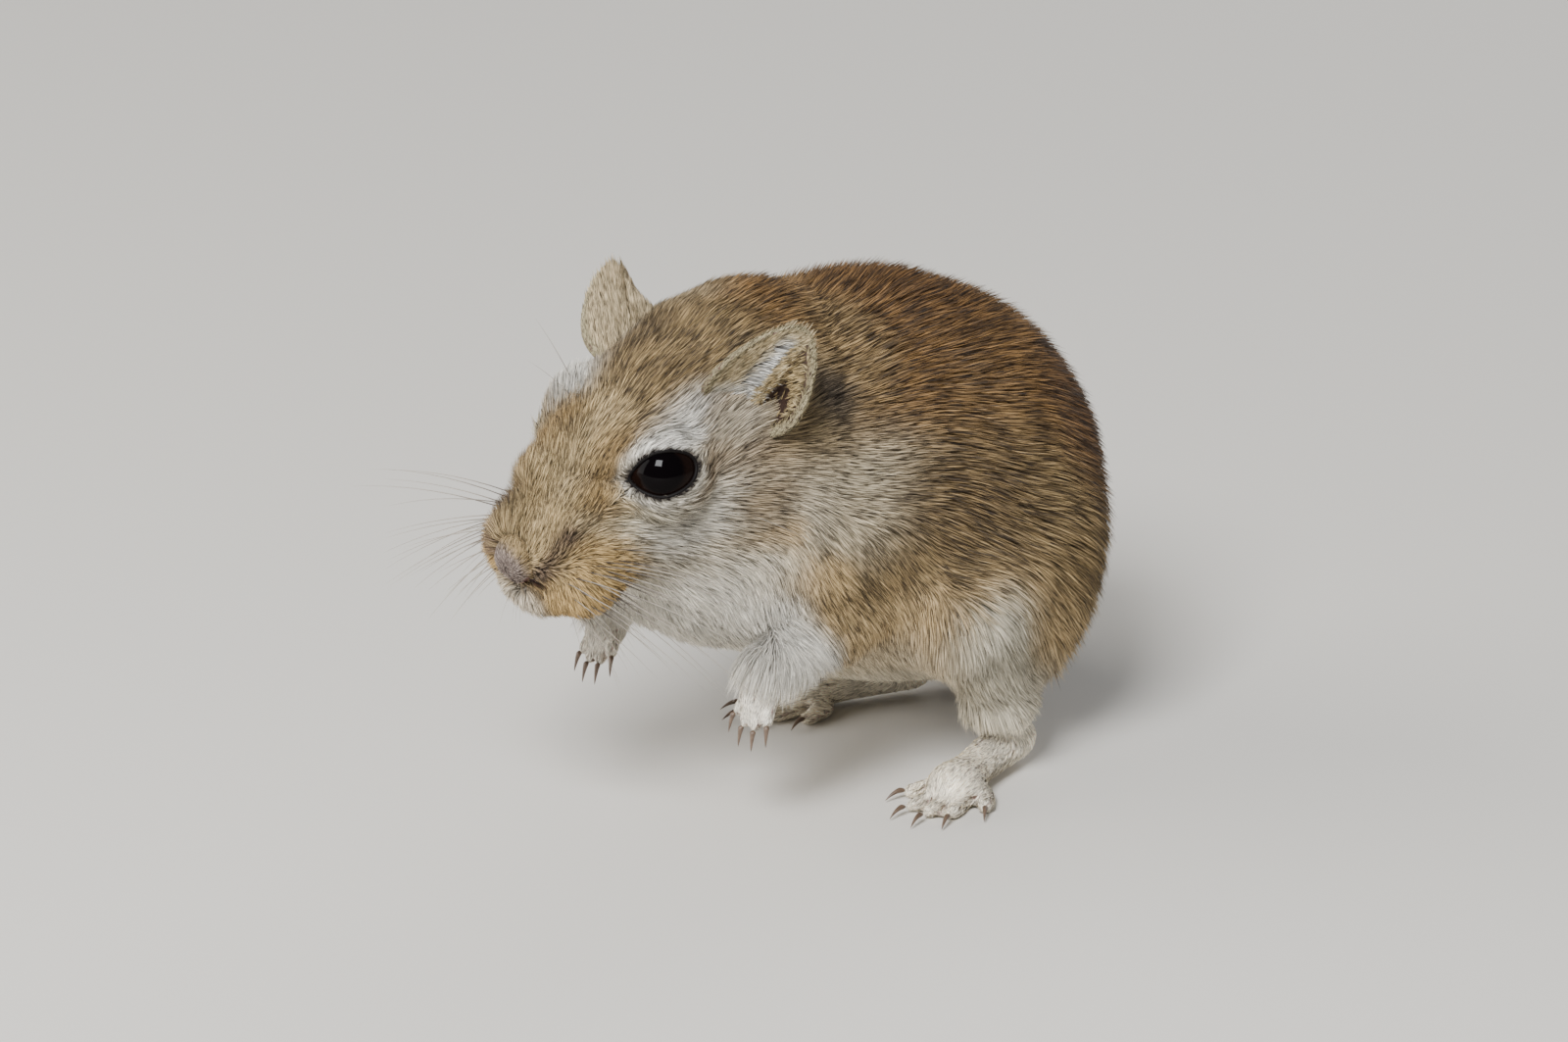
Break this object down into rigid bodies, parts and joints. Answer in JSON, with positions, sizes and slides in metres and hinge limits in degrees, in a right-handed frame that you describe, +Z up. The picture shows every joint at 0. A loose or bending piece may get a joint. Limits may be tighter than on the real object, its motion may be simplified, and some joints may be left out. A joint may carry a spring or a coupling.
{
  "type": "gerbil",
  "caption": "Life-size still model of a sandy-brown gerbil crouching on its hind feet with both forepaws lifted and its tufted tail laid on the floor behind.",
  "frame": {"origin": "on the floor, under the middle of the whole outline", "axes": "+Z up; the animal faces -Y and its left side is +X"},
  "size_m": [0.1036, 0.1224, 0.0609],
  "materials": {
    "sandy_coat": "soft dense fur, sandy brown ticked with black over a grey underfur",
    "face_coat": "short fur, sandy brown with a pale ring round the eye and a grey-cream cheek",
    "pale_coat": "short cream-white fur of the legs and feet",
    "ear_skin": "thin skin, short ochre fur outside and a cream edge",
    "nose_skin": "bare greyish-pink skin, matt",
    "eye_gloss": "wet black eye",
    "claw_horn": "dark brown horn, slightly glossy",
    "tail_coat": "short brown fur with a darker tuft along the last third"
  },
  "bodies": {
    "root": {"thigh_left": "sandy_coat", "upper_arm_left": "sandy_coat", "thigh_right": "sandy_coat", "upper_arm_right": "sandy_coat", "trunk": "sandy_coat", "neck": "sandy_coat", "eye_left": "eye_gloss", "eye_right": "eye_gloss", "head": "face_coat", "nose": "nose_skin", "ear_left": "ear_skin", "ear_right": "ear_skin", "shank_left": "pale_coat", "hind_left_claw_1": "claw_horn", "hind_left_claw_2": "claw_horn", "hind_left_claw_3": "claw_horn", "hind_left_claw_4": "claw_horn", "hind_left_claw_5": "claw_horn", "hind_foot_left": "pale_coat", "shank_right": "pale_coat", "hind_right_claw_1": "claw_horn", "hind_right_claw_2": "claw_horn", "hind_right_claw_3": "claw_horn", "hind_right_claw_4": "claw_horn", "hind_right_claw_5": "claw_horn", "hind_foot_right": "pale_coat", "forearm_left": "pale_coat", "fore_left_claw_1": "claw_horn", "fore_left_claw_2": "claw_horn", "fore_left_claw_3": "claw_horn", "fore_left_claw_4": "claw_horn", "forepaw_left": "pale_coat", "forearm_right": "pale_coat", "fore_right_claw_1": "claw_horn", "fore_right_claw_2": "claw_horn", "fore_right_claw_3": "claw_horn", "fore_right_claw_4": "claw_horn", "forepaw_right": "pale_coat", "tail_base": "tail_coat", "tail_middle": "tail_coat", "tail_tip": "tail_coat"}
  },
  "joints": []
}
